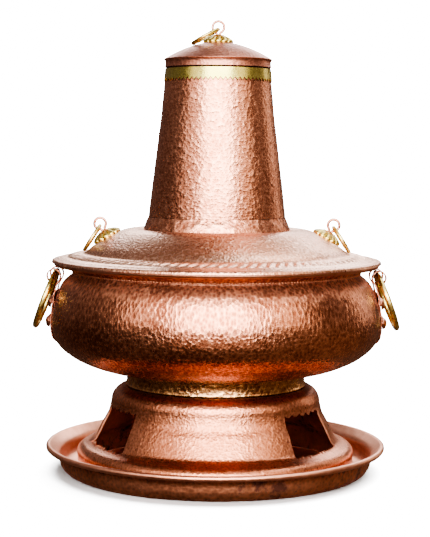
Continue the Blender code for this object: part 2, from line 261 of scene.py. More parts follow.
def mesh_of(bm, name):
    """A new mesh from a bmesh, which is used up."""
    mesh = bpy.data.meshes.new(name)
    bm.to_mesh(mesh)
    bm.free()
    return mesh


def tube(name, path, radius, sides):
    """A round wire along a path of points."""
    path = [Vector(point) for point in path]
    ahead = path[1:] + path[-1:]
    behind = path[:1] + path[:-1]
    along = [(after - before).normalized() for after, before in zip(ahead, behind)]
    across = along[0].orthogonal().normalized()
    angles = [math.tau * k / sides for k in range(sides)]
    bm = bmesh.new()
    rings = []
    for middle, forward in zip(path, along):
        across = (across - forward * across.dot(forward)).normalized()
        other = forward.cross(across)
        points = [middle + radius * (math.cos(a) * across + math.sin(a) * other) for a in angles]
        rings.append([bm.verts.new(point * MM) for point in points])
    for near, far in zip(rings, rings[1:]):
        for k in range(sides):
            j = (k + 1) % sides
            bm.faces.new((near[k], near[j], far[j], far[k]))
    bm.faces.new(reversed(rings[0]))
    bm.faces.new(rings[-1])
    bmesh.ops.recalc_face_normals(bm, faces=bm.faces)
    mesh = mesh_of(bm, name)
    mesh.attributes.new("polish", "FLOAT", "POINT")
    return mesh


def joined(mesh, others):
    """One mesh made of several, with points that lie together made one."""
    bm = bmesh.new()
    for each in (mesh, *others):
        bm.from_mesh(each)
    bmesh.ops.remove_doubles(bm, verts=bm.verts, dist=0.01 * MM)
    bmesh.ops.dissolve_degenerate(bm, edges=bm.edges, dist=0.001 * MM)
    bm.to_mesh(mesh)
    bm.free()
    return mesh


def places(mesh):
    """The mesh's points in millimetres, one to a row."""
    points = np.empty(len(mesh.vertices) * 3, np.float32)
    mesh.vertices.foreach_get("co", points)
    return points.reshape(-1, 3) / MM


def moved_to(mesh, points):
    """The mesh with its points moved to new places, in millimetres."""
    mesh.vertices.foreach_set("co", (points * MM).astype(np.float32).ravel())
    mesh.update()
    return mesh


def reshaped(mesh, change):
    """The mesh with its (angle, radius, height) arrays, in millimetres, put through a function."""
    x, y, z = places(mesh).T
    theta = np.arctan2(y, x)
    radius, height = change(theta, np.hypot(x, y), z)
    return moved_to(mesh, np.column_stack([radius * np.cos(theta), radius * np.sin(theta), height]))


def hoop(name, radius, wire, columns, sides, relief=None, height=0.0):
    """A round wire bent into a circle about Z."""
    rows = np.array(arc((radius, height), wire, 0, 360 - 360 / sides, sides - 1))
    normals = (rows - (radius, height)) / wire
    heights = relief_on(rows, columns, relief, np.arange(sides) * math.tau * wire / sides)
    return turned(name, rows, normals, columns, heights, np.zeros(sides, int))


# ---------------- materials


class Nodes:
    """Builds one material's node tree."""

    def __init__(self, name):
        self.material = bpy.data.materials.new(name)
        self.material.use_nodes = True
        self.tree = self.material.node_tree
        self.surface = self.tree.nodes["Principled BSDF"]

    def add(self, kind, settings=None, **inputs):
        node = self.tree.nodes.new(kind)
        for key, value in (settings or {}).items():
            setattr(node, key, value)
        self.fill(node, **inputs)
        return node

    def fill(self, node, **inputs):
        for key, value in inputs.items():
            self.put(node.inputs[key.replace("_", " ")], value)

    def put(self, socket, value):
        if isinstance(value, bpy.types.NodeSocket):
            self.tree.links.new(value, socket)
        else:
            socket.default_value = value

    def maths(self, operation, *values, clamp=False):
        node = self.add("ShaderNodeMath", {"operation": operation, "use_clamp": clamp})
        for socket, value in zip(node.inputs, values):
            self.put(socket, value)
        return node.outputs[0]

    def ranged(self, value, low, high, to_low=0.0, to_high=1.0):
        node = self.add("ShaderNodeMapRange", {"clamp": True})
        for socket, given in zip(node.inputs, (value, low, high, to_low, to_high)):
            self.put(socket, given)
        return node.outputs[0]

    def mixed(self, share, first, second):
        node = self.add("ShaderNodeMix", {"data_type": "RGBA"}, Factor=share, A=first, B=second)
        return node.outputs["Result"]

    def noise(self, where, scale, detail, rough=0.55):
        node = self.add("ShaderNodeTexNoise", Vector=where, Scale=scale, Detail=detail, Roughness=rough)
        return node.outputs["Fac"]

    def dented(self, where, spacing, ball, tall=1.0, start=0.0):
        """Hammer marks: the distance from each mark's middle, and a bump that is as deep as the marks."""
        x, y, z = self.add("ShaderNodeSeparateXYZ", Vector=where).outputs
        above = self.maths("MAXIMUM", self.maths("SUBTRACT", z, start * MM), 0.0)
        squeezed = self.maths("MULTIPLY_ADD", above, 1 / tall - 1, z)
        place = self.add("ShaderNodeCombineXYZ", X=x, Y=y, Z=squeezed).outputs[0]
        cells = self.add("ShaderNodeTexVoronoi", Vector=place, Scale=1 / (spacing * MM), Randomness=0.9)
        distance = cells.outputs["Distance"]
        depth = spacing**2 / (2 * ball) * MM
        squared = self.maths("MULTIPLY", distance, distance)
        return distance, self.add("ShaderNodeBump", Strength=1.0, Distance=depth, Height=squared)


# How a worn metal varies. Its depths and fades are in millimetres, and its scales are per metre.
SATIN_FADE = 12.0
SATIN_ROUGH = 0.26
CLOUD_SHARE = 0.6
SPECK_SHARE = 0.25
SPECK_SCALE = 260.0
BLOTCH_SCALE = 38.0
STAIN_ROUGH = 0.18
SPUN_SCALE = 1400.0
SPUN_WANDER = 0.004
GRAIN_DEPTH = 0.4


def metal(
    name, light, deep, rough, cloud=16.0, pit=0.5, grain=0.25, grain_size=1.6, spun=0.0,
    stain=None, hammer=None, satin=None
):
    """A worn metal.

    Its colour drifts between a light and a deep tone in clouds, and its hollows are darker than its ridges.
    The grain is fine hammering or casting texture of a size in millimetres, and spun lines run round the
    Z axis. A stain is a colour with the share of the surface that it covers in blotches. A hammer is the
    spacing of its marks, the radius of its face, and how many times taller than wide the marks are above a
    height. Above the satin height, where a cloth doesn't reach, the metal is duller.
    """
    made = Nodes(name)
    where = made.add("ShaderNodeTexCoord").outputs["Object"]
    polish = made.add("ShaderNodeAttribute", {"attribute_name": "polish"}).outputs["Fac"]
    clouds = made.noise(where, cloud, 4.0)
    specks = made.noise(where, SPECK_SCALE, 3.0, 0.7)
    ridge = made.ranged(polish, -0.05, 0.25)
    tone = made.maths("MULTIPLY", made.ranged(clouds, 0.3, 0.7), CLOUD_SHARE)
    tone = made.maths("MULTIPLY_ADD", made.ranged(specks, 0.3, 0.7), SPECK_SHARE, tone)
    tone = made.maths("MULTIPLY_ADD", made.maths("SUBTRACT", ridge, 0.5), pit, tone)
    if hammer:
        distance, dents = made.dented(where, *hammer)
        tone = made.maths("MULTIPLY_ADD", made.maths("SUBTRACT", distance, 0.4), pit, tone)
    colour = made.mixed(made.maths("ADD", tone, 0.1, clamp=True), (*deep, 1), (*light, 1))
    roughness = made.ranged(specks, 0.25, 0.75, rough - 0.05, rough + 0.07)
    if stain:
        blotches = made.noise(where, BLOTCH_SCALE, 6.0, 0.68)
        edge = 0.62 - 0.25 * stain[1]
        cover = made.ranged(blotches, edge, edge + 0.12)
        colour = made.mixed(cover, colour, (*stain[0], 1))
        roughness = made.maths("MULTIPLY_ADD", cover, STAIN_ROUGH, roughness)
    if satin:
        level = made.add("ShaderNodeSeparateXYZ", Vector=where).outputs["Z"]
        dull = made.ranged(level, (satin - SATIN_FADE) * MM, satin * MM, 0.0, SATIN_ROUGH)
        roughness = made.maths("ADD", roughness, dull)
    height = made.noise(where, 1000.0 / grain_size, 3.0, 0.5)
    if spun:
        x, y, z = made.add("ShaderNodeSeparateXYZ", Vector=where).outputs
        squares = made.maths("ADD", made.maths("MULTIPLY", x, x), made.maths("MULTIPLY", y, y))
        reach = made.maths("POWER", squares, 0.5)
        around = made.maths("MULTIPLY", made.maths("ARCTAN2", y, x), SPUN_WANDER)
        groove = made.add("ShaderNodeCombineXYZ", X=reach, Y=around, Z=z).outputs[0]
        height = made.maths("MULTIPLY_ADD", made.noise(groove, SPUN_SCALE, 2.0), spun, height)
    bump = made.add("ShaderNodeBump", Strength=grain, Distance=GRAIN_DEPTH * MM, Height=height)
    if hammer:
        made.put(bump.inputs["Normal"], dents.outputs[0])
    look = {"Base_Color": colour, "Roughness": roughness, "Normal": bump.outputs[0], "Metallic": 1.0}
    made.fill(made.surface, **look)
    return made.material


CHIMNEY_COPPER = metal(
    "chimney_copper", (0.86, 0.41, 0.26), (0.44, 0.16, 0.09), 0.26, pit=0.8,
    grain=0.4, grain_size=1.2, hammer=(3.0, 21.0, 0.75)
)
LID_COPPER = metal(
    "lid_copper", (0.93, 0.58, 0.42), (0.50, 0.23, 0.135), 0.29, pit=1.1, hammer=(2.4, 10.0)
)
BOWL_COPPER = metal(
    "bowl_copper", (0.86, 0.38, 0.22), (0.32, 0.11, 0.06), 0.24, pit=1.3,
    hammer=(2.7, 14.0, 1.9, 150.0), satin=189.0
)
STAND_COPPER = metal(
    "stand_copper", (0.78, 0.33, 0.19), (0.42, 0.15, 0.075), 0.30, pit=0.9, hammer=(2.3, 14.0)
)
BAND_COPPER = metal(
    "neck_band_copper", (0.90, 0.52, 0.22), (0.22, 0.07, 0.035), 0.24, cloud=22.0, pit=0.6,
    hammer=(3.4, 20.0)
)
TRAY_COPPER = metal("tray_copper", (0.92, 0.48, 0.33), (0.66, 0.29, 0.18), 0.36, spun=0.6)
TRAY_OUTSIDE = metal(
    "tray_outside_copper", (0.80, 0.34, 0.19), (0.40, 0.15, 0.08), 0.46, pit=0.7,
    stain=((0.16, 0.06, 0.04), 0.3), hammer=(3.4, 26.0)
)
INSIDE_COPPER = metal("inside_copper", (0.78, 0.35, 0.23), (0.42, 0.17, 0.10), 0.38, spun=0.4)
# The lid's underside is a lighter copy of the inside copper: painted light, standing in for light bounced up
# onto it from below.
LID_UNDERSIDE_PAINTED_BOUNCE = metal("lid_underside_painted_bounce", (0.96, 0.50, 0.32), (0.74, 0.32, 0.18), 0.62, spun=0.4)
CAP_COPPER = metal(
    "cap_copper", (0.68, 0.31, 0.21), (0.38, 0.14, 0.09), 0.36, spun=0.5, hammer=(2.6, 14.0)
)
BRACKET_COPPER = metal(
    "bracket_copper", (0.84, 0.38, 0.25), (0.40, 0.14, 0.08), 0.30, pit=0.5, hammer=(3.6, 26.0)
)
WIRE_COPPER = metal("wire_copper", (0.84, 0.43, 0.31), (0.50, 0.20, 0.13), 0.28)
CUT_COPPER = metal("cut_edge_copper", (0.84, 0.40, 0.26), (0.56, 0.23, 0.13), 0.40)
SOOT = metal("sooty_copper", (0.80, 0.26, 0.13), (0.30, 0.08, 0.04), 0.66, stain=((0.05, 0.024, 0.016), 0.3))
# A dark material for the thin strip under the chimney band: painted shadow under the band's teeth.
PAINTED_BAND_SHADOW = metal("painted_band_shadow", (0.16, 0.07, 0.04), (0.05, 0.02, 0.012), 0.55)
BRASS = metal(
    "brass", (0.93, 0.80, 0.33), (0.64, 0.50, 0.15), 0.28, pit=1.0, stain=((0.36, 0.26, 0.07), 0.03)
)
BAND_BRASS = metal("chimney_band_brass", (0.76, 0.70, 0.25), (0.46, 0.40, 0.09), 0.26, spun=0.6)
IRON = metal(
    "grate_iron", (0.085, 0.075, 0.070), (0.02, 0.018, 0.016), 0.62, grain=0.8,
    stain=((0.09, 0.035, 0.018), 0.2)
)

# ---------------- pieces

BODY_OF = {
    node: body for body, nodes in frame["record"]["behaviour"]["bodies"].items() for node in nodes
}
HINGES = {
    joint["child"]: Vector(joint["pos_m"]) / MM for joint in frame["joints"] if joint["type"] == "hinge"
}


def linked(name, data):
    """A new object in the scene."""
    made = bpy.data.objects.new(name, data)
    bpy.context.scene.collection.objects.link(made)
    return made


def add_piece(mesh, node, slot, *materials, matrix=None, level=True):
    """Finish a mesh as the piece that stands for a node of the frame and rides on that node's body.

    A level piece is moved up or down until its middle height is its node's.
    """
    if matrix:
        mesh.transform(matrix)
    if level:
        heights = [vertex.co.z for vertex in mesh.vertices]
        low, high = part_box(node)
        mesh.transform(Matrix.Translation((0, 0, (low.z + high.z - min(heights) - max(heights)) / 2)))
    for material in materials:
        mesh.materials.append(material)
    mesh.shade_smooth()
    mesh.set_sharp_from_angle(angle=math.radians(SHARP_ANGLE))
    piece = linked(node + "_piece", mesh)
    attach(piece, BODY_OF[node])
    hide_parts(node)
    return piece


def at(point):
    return Matrix.Translation(Vector(point) * MM)


def fade(value, start, end):
    """From 0 at the start to 1 at the end, smoothly."""
    share = np.clip((value - start) / (end - start), 0, 1)
    return share * share * (3 - 2 * share)


# ---------------- ash tray

TRAY_BEAD = (162.8, 25.0)
TRAY_OUTLINE = [(0, 1.2), (30, 1.2), (70, 1.2), (110, 1.2), (134, 1.2), (139.4, 1.2)]
TRAY_OUTLINE += arc((139.4, 13.2), 12.0, -75, 0, 5) + [(151.7, 16.2), (152.6, 19.0), (155.2, 21.8)]
TRAY_OUTLINE += arc(TRAY_BEAD, 2.7, 145, -125, 12)


def tray_marks(theta, travel, radius, height):
    marks = blows(theta, travel, radius, pitch=9.0, hammer=160.0, tilt=0.006, seed=3)
    return marks + waviness(theta, travel, 0.12, 4)


def tray_wall_marks(theta, travel, radius, height):
    on_wall = fade(radius, 141.0, 150.0) * (1 - fade(radius, 152.0, 155.0))
    return blows(theta, travel, radius, pitch=4.0, hammer=60.0, tilt=0.01, seed=5) * on_wall[:, None]


tray = sheet("tray", TRAY_OUTLINE, SHEET, 480, 2.7, 1.7, tray_marks, (0, 1), tray_wall_marks)
tray = joined(tray, [])
add_piece(tray, "tray", "tray", TRAY_COPPER, TRAY_OUTSIDE)
add_piece(hoop("tray_wire", TRAY_BEAD[0], 1.2, 240, 12), "tray_rim_wire", "rim_wire", WIRE_COPPER)

# ---------------- stand

STAND_OUTLINE = [(85.2, 96.0), (85.2, 88.0), (85.2, 85.2), (86.1, 84.0), (88.0, 83.8), (91.0, 83.6)]
STAND_OUTLINE += [(96.8, 80.4), (100.2, 76.0), (101.7, 72.0), (102.2, 68.0), (103.0, 64.0), (104.0, 60.0)]
STAND_OUTLINE += [(105.6, 56.0), (109.0, 50.0), (112.6, 42.5), (116.6, 34.5), (118.6, 31.2), (122.0, 29.0)]
STAND_OUTLINE += [(126.0, 27.6), (130.0, 26.4), (133.6, 23.6), (135.2, 20.0), (134.9, 14.0), (134.5, 1.5)]
WINDOW_MIDDLES = (86.0, 206.0, 326.0)
WINDOW_HALF_ANGLE = 17.5
WINDOW_BOTTOM = 28.5
WINDOW_TOP = 66.5
CUTTER_RADII = (70.0, 150.0)


def stand_marks(theta, travel, radius, height):
    wrinkled = fade(height, 33.0, 46.0) * (1 - fade(height, 76.0, 83.0))
    deep = blows(theta, travel, radius, pitch=3.0, hammer=15.0, tilt=0.03, seed=11)
    shallow = blows(theta, travel, radius, pitch=3.2, hammer=60.0, tilt=0.01, seed=12)
    marks = deep * wrinkled[:, None] + shallow * (1 - wrinkled)[:, None]
    return marks + waviness(theta, travel, 0.1, 13)


def window_edge(random):
    """(angle, height) round a window cut with a cold chisel, ragged at the top and saw-toothed below."""
    edge = []
    teeth = 14
    pitch = 2 * WINDOW_HALF_ANGLE / teeth
    for i in range(teeth):
        start = -WINDOW_HALF_ANGLE + i * pitch
        edge.append((start, WINDOW_BOTTOM + random.uniform(-0.2, 0.3)))
        edge.append((start + pitch * 0.72, WINDOW_BOTTOM + random.uniform(1.2, 2.2)))
    for height in (WINDOW_BOTTOM, 38.0, 48.0, 57.0, WINDOW_TOP):
        edge.append((WINDOW_HALF_ANGLE + random.uniform(-0.25, 0.25), height))
    lobes = 6
    pitch = 2 * WINDOW_HALF_ANGLE / lobes
    for i in range(lobes):
        start = WINDOW_HALF_ANGLE - i * pitch
        depth = random.uniform(1.8, 3.4)
        for share, drop in ((0.22, 0.55), (0.42, 1.0), (0.62, 0.9), (0.82, 0.35), (0.97, 0.0)):
            edge.append((start - pitch * share, WINDOW_TOP + random.uniform(-0.2, 0.2) - drop * depth))
    for height in (57.0, 48.0, 38.0):
        edge.append((-WINDOW_HALF_ANGLE + random.uniform(-0.25, 0.25), height))
    return edge


def window_cutter(middle, random):
    """A wedge through the stand's wall, for cutting only. Its faces carry the finish of a cut edge."""
    edge = window_edge(random)
    bm = bmesh.new()
    rings = []
    for radius in CUTTER_RADII:
        ring = []
        for angle, height in edge:
            turn = math.radians(middle + angle)
            spot = Vector((radius * math.cos(turn), radius * math.sin(turn), height))
            ring.append(bm.verts.new(spot * MM))
        rings.append(ring)
    for i in range(len(edge)):
        j = (i + 1) % len(edge)
        bm.faces.new((rings[0][i], rings[0][j], rings[1][j], rings[1][i]))
    for ring in rings:
        bmesh.ops.triangulate(bm, faces=[bm.faces.new(ring)])
    bmesh.ops.recalc_face_normals(bm, faces=bm.faces)
    for face in bm.faces:
        face.material_index = 2
    return linked("window_cutter", mesh_of(bm, "window_cutter"))


def cut(mesh, cutters):
    """The mesh with the cutters taken out of it."""
    target = linked("cutting", mesh)
    for cutter in cutters:
        modifier = target.modifiers.new("cut", "BOOLEAN")
        modifier.object = cutter
        modifier.operation = "DIFFERENCE"
        modifier.solver = "EXACT"
    graph = bpy.context.evaluated_depsgraph_get()
    made = bpy.data.meshes.new_from_object(target.evaluated_get(graph))
    for each in (target, *cutters):
        bpy.data.objects.remove(each)
    return made


window_random = np.random.default_rng(21)
window_cutters = [window_cutter(middle, window_random) for middle in WINDOW_MIDDLES]
stand = sheet("stand", STAND_OUTLINE, SHEET, 660, 1.2, 4.0, stand_marks, (0, 1))
for material in (STAND_COPPER, SOOT, CUT_COPPER):
    stand.materials.append(material)
add_piece(cut(stand, window_cutters), "stand", "stand", level=False)

# ---------------- neck band


def band_marks(theta, travel, radius, height):
    edges = bump_at(travel, 0.6, 0.6) + bump_at(travel, travel[-1] - 0.6, 0.6)
    middle = 1 - np.clip(edges, 0, 1)
    marks = blows(theta, travel, radius, pitch=4.6, hammer=26.0, tilt=0.03, seed=17)
    return marks * middle[:, None] + 0.25 * edges[:, None]


NECK_BAND_OUTLINE = [(87.7, 98.4), (87.2, 94.8), (87.0, 91.6), (87.2, 88.4), (87.7, 84.9)]
neck_band = sheet("neck_band", NECK_BAND_OUTLINE, SHEET, 600, 0.7, 2.5, band_marks)
add_piece(neck_band, "neck_band", "neck_band", BAND_COPPER)

# ---------------- bowl

BOWL_BEAD = (155.4, 203.0)
BOWL_OUTLINE = [(83.8, 98.7), (92.0, 99.3), (100.7, 100.0), (108.5, 101.3), (115.8, 103.1), (125.5, 106.4)]
BOWL_OUTLINE += [(132.8, 109.6), (138.7, 112.6), (144.2, 116.3), (149.4, 120.4), (153.4, 124.6)]
BOWL_OUTLINE += [(156.6, 129.3), (159.0, 136.0), (160.0, 144.0), (159.6, 154.0), (157.7, 164.0)]
BOWL_OUTLINE += [(154.4, 174.5), (149.2, 184.4), (144.2, 189.4), (140.8, 192.4), (139.9, 194.8)]
BOWL_OUTLINE += [(141.6, 197.8), (147.0, 200.6), (152.6, 202.6)] + arc(BOWL_BEAD, 1.4, 110, -130, 8)


def bowl_marks(theta, travel, radius, height):
    belly = lengths(np.column_stack([radius, height]))
    on_belly = fade(height, 99.3, 101.0) * (1 - fade(height, 187.0, 193.0)) * (belly < belly[-1] - 9)
    streaked = fade(height, 146.0, 168.0)[:, None]
    long = blows(theta, travel, radius, pitch=3.2, hammer=22.0, tilt=0.008, seed=23, stretch=2.4)
    round_marks = blows(theta, travel, radius, pitch=3.6, hammer=24.0, tilt=0.006, seed=24)
    marks = streaked * long + (1 - streaked) * round_marks + waviness(theta, travel, 0.1, 25)
    return marks * on_belly[:, None]


bowl = sheet("bowl", BOWL_OUTLINE, -SHEET, 800, 1.5, 5.0, bowl_marks, (0, 1))
add_piece(bowl, "bowl", "bowl", BOWL_COPPER, INSIDE_COPPER)
add_piece(hoop("bowl_wire", BOWL_BEAD[0], 1.1, 240, 12), "bowl_rim_wire", "rim_wire", WIRE_COPPER)

NECK_BEADS = 280
NECK_BEAD = 1.15
NECK_RADIUS = 139.5
NECK_HEIGHT = 194.8


def add_neck_beading():
    """A line of small punched beads round the narrowest place under the bowl's rim."""

    def beads(theta, radius, height):
        share = 0.35 + 0.65 * np.abs(np.sin(NECK_BEADS * theta / 2))
        return NECK_RADIUS + (radius - NECK_RADIUS) * share, NECK_HEIGHT + (height - NECK_HEIGHT) * share

    wire = hoop("neck_beading", NECK_RADIUS, NECK_BEAD, NECK_BEADS * 8, 10, height=NECK_HEIGHT)
    mesh = reshaped(wire, beads)
    mesh.materials.append(CUT_COPPER)
    mesh.shade_smooth()
    piece = linked("bowl_neck_beading", mesh)
    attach(piece, "pot")


add_neck_beading()

# ---------------- side handles

KNUCKLE = (157.2, 190.5)
PLATE = [(155.8, 127.0), (157.6, 129.6), (159.2, 133.2), (160.2, 138.4), (160.5, 143.8), (160.4, 149.0)]
PLATE += [(159.6, 157.0), (158.3, 165.0), (156.6, 173.0), (153.8, 182.0)]
PLATE_TOP = 182.0
PLATE_HALF_WIDTH = 22.5
KNUCKLE_BANDS = (11.0, 17.5)
CORNER = 7.0
BELLY = 160.0

# A pair of rivets each: distance from the middle plane, radius and height of the seat, tilt, grip.
RIVETS = ((13.0, 159.6, 165.0, 9.0, 5.9), (10.0, 161.8, 146.0, 0.0, 4.7))

# A side ring's wire passes SAG beyond its hinge, and the ring hangs LEAN degrees out from straight down.
SIDE_RING_RADIUS = 28.75
SIDE_RING_WIRE = 2.75
SIDE_RING_SAG = 4.06
SIDE_RING_LEAN = 21.0


def bracket_mesh(side):
    """A hammered plate that follows the belly, with its top rolled outward into two knuckles."""
    line = smooth(PLATE + arc(KNUCKLE, 7.1, 210, -78, 18))
    rows = spaced(line, 1.3)
    inward = right_hand(rows)
    half = (*KNUCKLE_BANDS, PLATE_HALF_WIDTH)
    bounds = [-each for each in half[::-1]] + list(half)
    levels = [np.linspace(low, high, int((high - low) / 1.2) + 1) for low, high in zip(bounds, bounds[1:])]
    levels = np.unique(np.concatenate(levels).round(6))
    travel = lengths(rows)
    radius = np.full(len(rows), BELLY)
    marks = blows((levels + 40) / BELLY, travel, radius, pitch=5.0, hammer=26.0, tilt=0.02, seed=31 + side)
    width = 1 - np.clip(CORNER - travel, 0, CORNER) ** 2 / (CORNER * PLATE_HALF_WIDTH)
    bend = np.clip((PLATE_TOP - rows[:, 1]) / 17.0, 0, 1)
    bm = bmesh.new()
    polish = bm.verts.layers.float.new("polish")
    faces = []
    for depth in (0.0, SHEET):
        grid = []
        for i, (x, z) in enumerate(rows + inward * depth):
            line_verts = []
            for j, y in enumerate(levels):
                lift = marks[i, j] if not depth else 0.0
                reach = x - inward[i, 0] * lift - bend[i] * y**2 / (2 * BELLY)
                vert = bm.verts.new(Vector((side * reach, y * width[i], z - inward[i, 1] * lift)) * MM)
                vert[polish] = lift
                line_verts.append(vert)
            grid.append(line_verts)
        faces.append(grid)
    front, back = faces

    def filled(i, j):
        if not (0 <= i < len(rows) - 1 and 0 <= j < len(levels) - 1):
            return False
        middle = abs(levels[j] + levels[j + 1]) / 2
        on_plate = rows[i, 1] < PLATE_TOP and travel[i] < travel[-1] / 2
        return on_plate or KNUCKLE_BANDS[0] < middle < KNUCKLE_BANDS[1]

    for i in range(len(rows) - 1):
        for j in range(len(levels) - 1):
            if not filled(i, j):
                continue
            for grid in (front, back):
                bm.faces.new((grid[i][j], grid[i + 1][j], grid[i + 1][j + 1], grid[i][j + 1]))
            for near, far, beside in (
                ((i, j), (i + 1, j), (i, j - 1)),
                ((i, j + 1), (i + 1, j + 1), (i, j + 1)),
                ((i, j), (i, j + 1), (i - 1, j)),
                ((i + 1, j), (i + 1, j + 1), (i + 1, j)),
            ):
                if not filled(*beside):
                    corners = ((front, near), (front, far), (back, far), (back, near))
                    bm.faces.new([grid[row][column] for grid, (row, column) in corners])
    bmesh.ops.delete(bm, geom=[vert for vert in bm.verts if not vert.link_faces], context="VERTS")
    bmesh.ops.recalc_face_normals(bm, faces=bm.faces)
    return mesh_of(bm, "bracket")


def soften(piece, width):
    """Round a piece's sharp edges a little."""
    modifier = piece.modifiers.new("soft_edges", "BEVEL")
    modifier.width = width * MM
    modifier.segments = 2
    modifier.limit_method = "ANGLE"
    modifier.angle_limit = math.radians(50)


def rivet_mesh(grip, seed):
    """A rivet with a hammered head, its shank, and its end peened over inside the bowl."""

    def marks(theta, travel, radius, height):
        struck = blows(theta, travel, radius, pitch=3.0, hammer=9.0, tilt=0.06, seed=seed)
        return struck * (height > 0.8)[:, None]

    foot = -grip
    runs = [[(0, 4.3), (2.0, 4.1), (4.0, 3.2), (5.5, 1.6), (6.0, 0.3)], [(6.0, 0.3), (2.3, 0.3)]]
    runs += [[(2.3, 0.3), (2.3, foot)], [(2.3, foot), (4.2, foot)]]
    runs += [[(4.2, foot), (3.2, foot - 1.3), (0, foot - 1.8)]]
    return solid("rivet", runs, 40, 0.5, marks)


def add_side_handle(name, side):
    node = "side_bracket_" + name
    bracket = add_piece(bracket_mesh(side), node, node, BRACKET_COPPER, level=False)
    soften(bracket, 0.25)
    number = 0
    for offset, reach, height, tilt, grip in RIVETS:
        for toward in (-1, 1):
            number += 1
            turn = math.asin(offset / reach)
            out = Vector((side * math.cos(turn), toward * math.sin(turn), math.tan(math.radians(tilt))))
            seat = Vector((side * reach * math.cos(turn), toward * offset, height))
            put = at(seat) @ out.to_track_quat("Z", "Y").to_matrix().to_4x4()
            rivet = rivet_mesh(grip, 40 + number)
            node = "bracket_rivet_%s_%d" % (name, number)
            add_piece(rivet, node, "copper_wire", BRACKET_COPPER, matrix=put, level=False)
    hinge = HINGES["side_ring_" + name]
    lean = math.radians(90 - SIDE_RING_LEAN)
    hang = SIDE_RING_RADIUS - SIDE_RING_SAG
    middle = hinge + hang * Vector((side * math.cos(lean), 0, -math.sin(lean)))
    put = at(middle) @ Matrix.Rotation(side * lean, 4, "Y")
    add_ring("side_ring_" + name, SIDE_RING_RADIUS, SIDE_RING_WIRE, put, 51)


def add_ring(node, radius, wire, put, seed):
    """A ring of brass rod, hammered a little out of true, with the line where its ends were brazed."""

    def marks(theta, travel, radii, height):
        seam = bump_at(np.degrees(theta), 180.0, 1.2)[None, :]
        middle = np.full(len(travel), radius)
        planished = blows(theta, travel, middle, pitch=4.0, hammer=30.0, tilt=0.03, seed=seed)
        return planished - 0.12 * seam + waviness(theta, travel, 0.05 * wire, seed)

    ring = hoop("ring", radius, wire, 160, 20, marks)
    add_piece(ring, node, "brass", BRASS, matrix=put, level=False)


for side_name, side_sign in SIDES_OF_POT:
    add_side_handle(side_name, side_sign)

# ---------------- fire tube, grate and chimney

TUBE_OUTLINE = [(77.9, 85.2), (80.5, 85.2), (82.6, 85.3), (83.3, 86.2), (83.4, 90.0), (83.4, 100.0)]
TUBE_OUTLINE += [(81.0, 128.0), (78.0, 163.0), (75.0, 198.0), (72.6, 226.0), (71.6, 234.0), (69.6, 240.6)]
TUBE_OUTLINE += [(66.7, 247.8)]
CHIMNEY_OUTLINE = [(48.4, 397.5), (48.4, 394.0), (48.5, 391.6), (49.3, 391.0), (50.1, 390.7), (50.6, 388.0)]
CHIMNEY_OUTLINE += [(51.5, 379.0), (53.2, 362.0), (55.0, 343.0), (57.4, 324.0), (59.8, 304.0), (62.3, 284.0)]
CHIMNEY_OUTLINE += [(64.7, 264.0), (66.0, 252.0), (66.4, 248.1)]
BAND_TOP = 390.3
BAND_BOTTOM = 378.6
BAND_TEETH = 70
BAND_TOOTH = 2.8


def tube_marks(theta, travel, radius, height):
    marks = blows(theta, travel, radius, pitch=5.2, hammer=22.0, tilt=0.04, seed=61)
    return marks * fade(height, 92.0, 100.0)[:, None]


def chimney_marks(theta, travel, radius, height):
    hammered = 1 - fade(height, 374.0, 379.0)
    marks = blows(theta, travel, radius, pitch=4.3, hammer=26.0, tilt=0.022, seed=67)
    return (marks + waviness(theta, travel, 0.1, 68)) * hammered[:, None]


def toothed(theta, radius, height):
    """Stretch the band down to a saw-toothed lower edge."""
    phase = (theta / math.tau * BAND_TEETH) % 1
    drop = BAND_TOOTH * np.abs(2 * phase - 1)
    share = (BAND_TOP - height) / (BAND_TOP - BAND_BOTTOM)
    moved = height + share * drop
    return radius - (moved - height) * 0.104, moved


fire_tube = sheet("fire_tube", TUBE_OUTLINE, -SHEET, 400, 1.5, 5.0, tube_marks, (0, 1))
add_piece(fire_tube, "fire_tube", "fire_tube", CHIMNEY_COPPER, SOOT)
chimney = sheet("chimney", CHIMNEY_OUTLINE, SHEET, 500, 0.88, 6.0, chimney_marks, (0, 1))
add_piece(chimney, "chimney", "chimney", CHIMNEY_COPPER, SOOT)
BAND_OUTLINE = [(51.2, BAND_TOP), (51.6, 386.5), (52.0, 382.6), (52.4, BAND_BOTTOM)]
# Just under the band lies a thin dark sheet of the same toothed shape, reaching a little below its teeth: a
# painted shadow line under the teeth.
BAND_SHADOW_OUTLINE = [(50.9, BAND_TOP + 0.5), (51.1, 386.5), (51.6, 382.6), (51.95, BAND_BOTTOM - 0.9)]
band = sheet("band", BAND_OUTLINE, 0.6, BAND_TEETH * 8, 1.2, 1.2)
band_shadow = sheet("band_shadow", BAND_SHADOW_OUTLINE, 0.3, BAND_TEETH * 8, 1.2, 1.2, None, (1, 1))
band = reshaped(joined(band, [band_shadow]), toothed)
add_piece(band, "chimney_band", "brass", BAND_BRASS, PAINTED_BAND_SHADOW, level=False)


CAST_ROUGH = 0.12
CAST_SEED = 71


def cast_marks(mesh, size, seed):
    """Push a mesh's points about by a little, as a sand mould leaves iron."""
    random = np.random.default_rng(seed)
    points = places(mesh)
    return moved_to(mesh, points + random.uniform(-size, size, points.shape))


